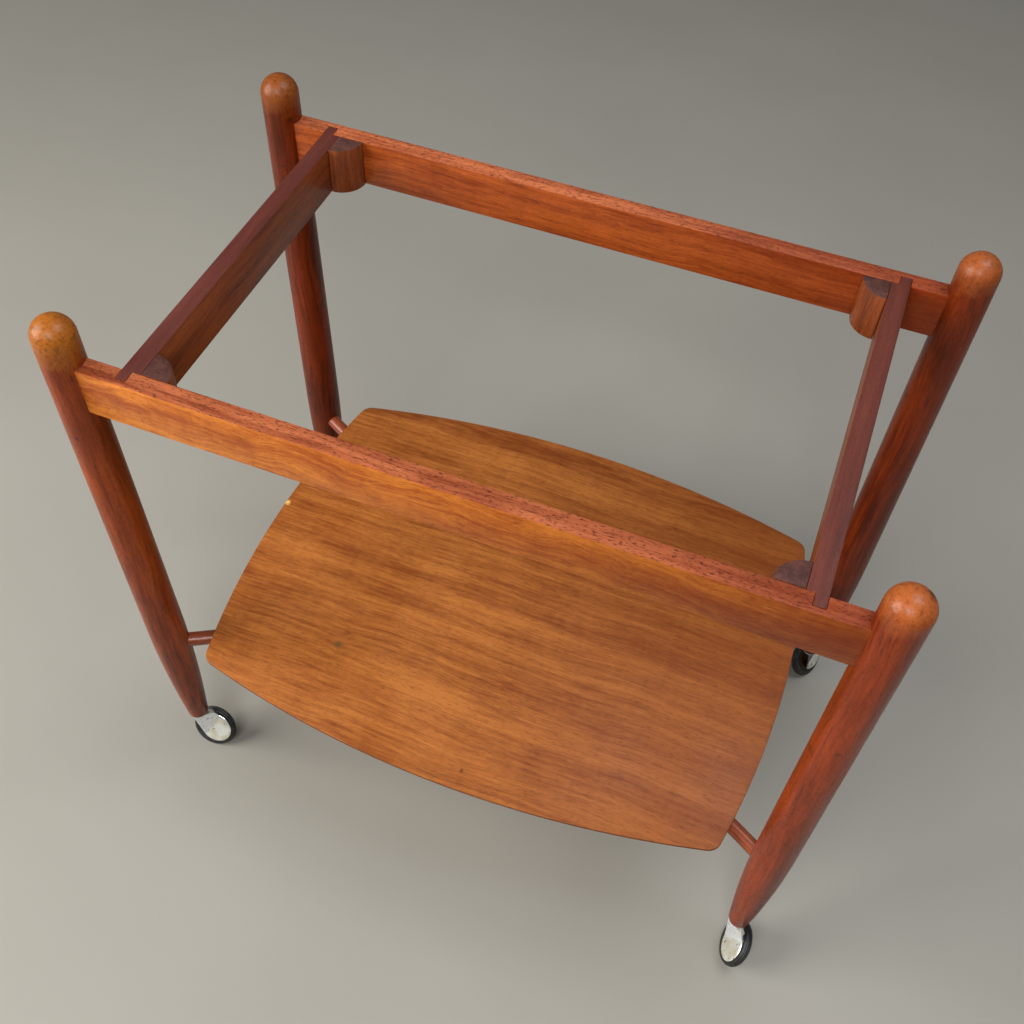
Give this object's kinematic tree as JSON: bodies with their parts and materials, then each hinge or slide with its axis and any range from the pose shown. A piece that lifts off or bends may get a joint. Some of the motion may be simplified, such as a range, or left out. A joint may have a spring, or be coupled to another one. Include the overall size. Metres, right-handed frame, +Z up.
{
  "type": "bar cart",
  "caption": "Small wooden serving trolley: open top frame of rails between turned posts, bowed lower shelf on crossed dowels, leaning single-wheel casters with metal hoods.",
  "frame": {"origin": "on the floor, under the middle between the four posts", "axes": "+X along the long rails, +Y from the front to the back, +Z up"},
  "size_m": [0.6505, 0.43, 0.636],
  "materials": {
    "lacquered_teak": "satin lacquer",
    "rail_teak": "satin lacquer, tops worn dull",
    "shelf_veneer": "satin lacquer on striped veneer",
    "end_grain_teak": "worn, open pores",
    "chrome_plate": "bright plating with pitting",
    "zinc_steel": "dull zinc plate",
    "bronze_core": "tarnished",
    "black_rubber": "matte"
  },
  "bodies": {
    "frame": {"post_front_left": "lacquered_teak", "post_front_right": "lacquered_teak", "post_back_left": "lacquered_teak", "post_back_right": "lacquered_teak", "long_rail_front": "rail_teak", "long_rail_back": "rail_teak", "cross_rail_left": "rail_teak", "cross_rail_right": "rail_teak", "corner_block_front_left": "end_grain_teak", "corner_block_front_right": "end_grain_teak", "corner_block_back_left": "end_grain_teak", "corner_block_back_right": "end_grain_teak", "stretcher_a": "lacquered_teak", "stretcher_b": "lacquered_teak", "shelf": "shelf_veneer", "shelf_screw_front_left": "zinc_steel", "shelf_screw_front_right": "zinc_steel", "shelf_screw_back_left": "zinc_steel", "shelf_screw_back_right": "zinc_steel", "caster_socket_front_left": "zinc_steel", "caster_socket_front_right": "zinc_steel", "caster_socket_back_left": "zinc_steel", "caster_socket_back_right": "zinc_steel"},
    "swivel_front_left": {"caster_washer_front_left": "zinc_steel", "caster_stem_front_left": "zinc_steel", "caster_hood_front_left": "chrome_plate", "caster_axle_front_left": "zinc_steel"},
    "wheel_front_left": {"wheel_core_front_left": "bronze_core", "wheel_tyre_front_left": "black_rubber"},
    "swivel_front_right": {"caster_washer_front_right": "zinc_steel", "caster_stem_front_right": "zinc_steel", "caster_hood_front_right": "chrome_plate", "caster_axle_front_right": "zinc_steel"},
    "wheel_front_right": {"wheel_core_front_right": "bronze_core", "wheel_tyre_front_right": "black_rubber"},
    "swivel_back_left": {"caster_washer_back_left": "zinc_steel", "caster_stem_back_left": "zinc_steel", "caster_hood_back_left": "chrome_plate", "caster_axle_back_left": "zinc_steel"},
    "wheel_back_left": {"wheel_core_back_left": "bronze_core", "wheel_tyre_back_left": "black_rubber"},
    "swivel_back_right": {"caster_washer_back_right": "zinc_steel", "caster_stem_back_right": "zinc_steel", "caster_hood_back_right": "chrome_plate", "caster_axle_back_right": "zinc_steel"},
    "wheel_back_right": {"wheel_core_back_right": "bronze_core", "wheel_tyre_back_right": "black_rubber"}
  },
  "joints": [
    {"name": "swivel_front_left_turn", "type": "hinge", "parent": "frame", "child": "swivel_front_left", "pos_m": [-0.306, -0.1685, 0.055], "axis": [0, 0, 1], "continuous": true},
    {"name": "wheel_front_left_roll", "type": "hinge", "parent": "swivel_front_left", "child": "wheel_front_left", "pos_m": [-0.29517, -0.16263, 0.02223], "axis": [0.0783, -0.8954, 0.4384], "continuous": true},
    {"name": "swivel_front_right_turn", "type": "hinge", "parent": "frame", "child": "swivel_front_right", "pos_m": [0.306, -0.1685, 0.055], "axis": [0, 0, 1], "continuous": true},
    {"name": "wheel_front_right_roll", "type": "hinge", "parent": "swivel_front_right", "child": "wheel_front_right", "pos_m": [0.31279, -0.17878, 0.02223], "axis": [-0.8851, -0.1561, 0.4384], "continuous": true},
    {"name": "swivel_back_left_turn", "type": "hinge", "parent": "frame", "child": "swivel_back_left", "pos_m": [-0.306, 0.1685, 0.055], "axis": [0, 0, 1], "continuous": true},
    {"name": "wheel_back_left_roll", "type": "hinge", "parent": "swivel_back_left", "child": "wheel_back_left", "pos_m": [-0.29866, 0.17839, 0.02223], "axis": [0.4494, -0.7784, 0.4384], "continuous": true},
    {"name": "swivel_back_right_turn", "type": "hinge", "parent": "frame", "child": "swivel_back_right", "pos_m": [0.306, 0.1685, 0.055], "axis": [0, 0, 1], "continuous": true},
    {"name": "wheel_back_right_roll", "type": "hinge", "parent": "swivel_back_right", "child": "wheel_back_right", "pos_m": [0.30633, 0.18081, 0.02223], "axis": [0.8146, -0.3798, 0.4384], "continuous": true}
  ]
}
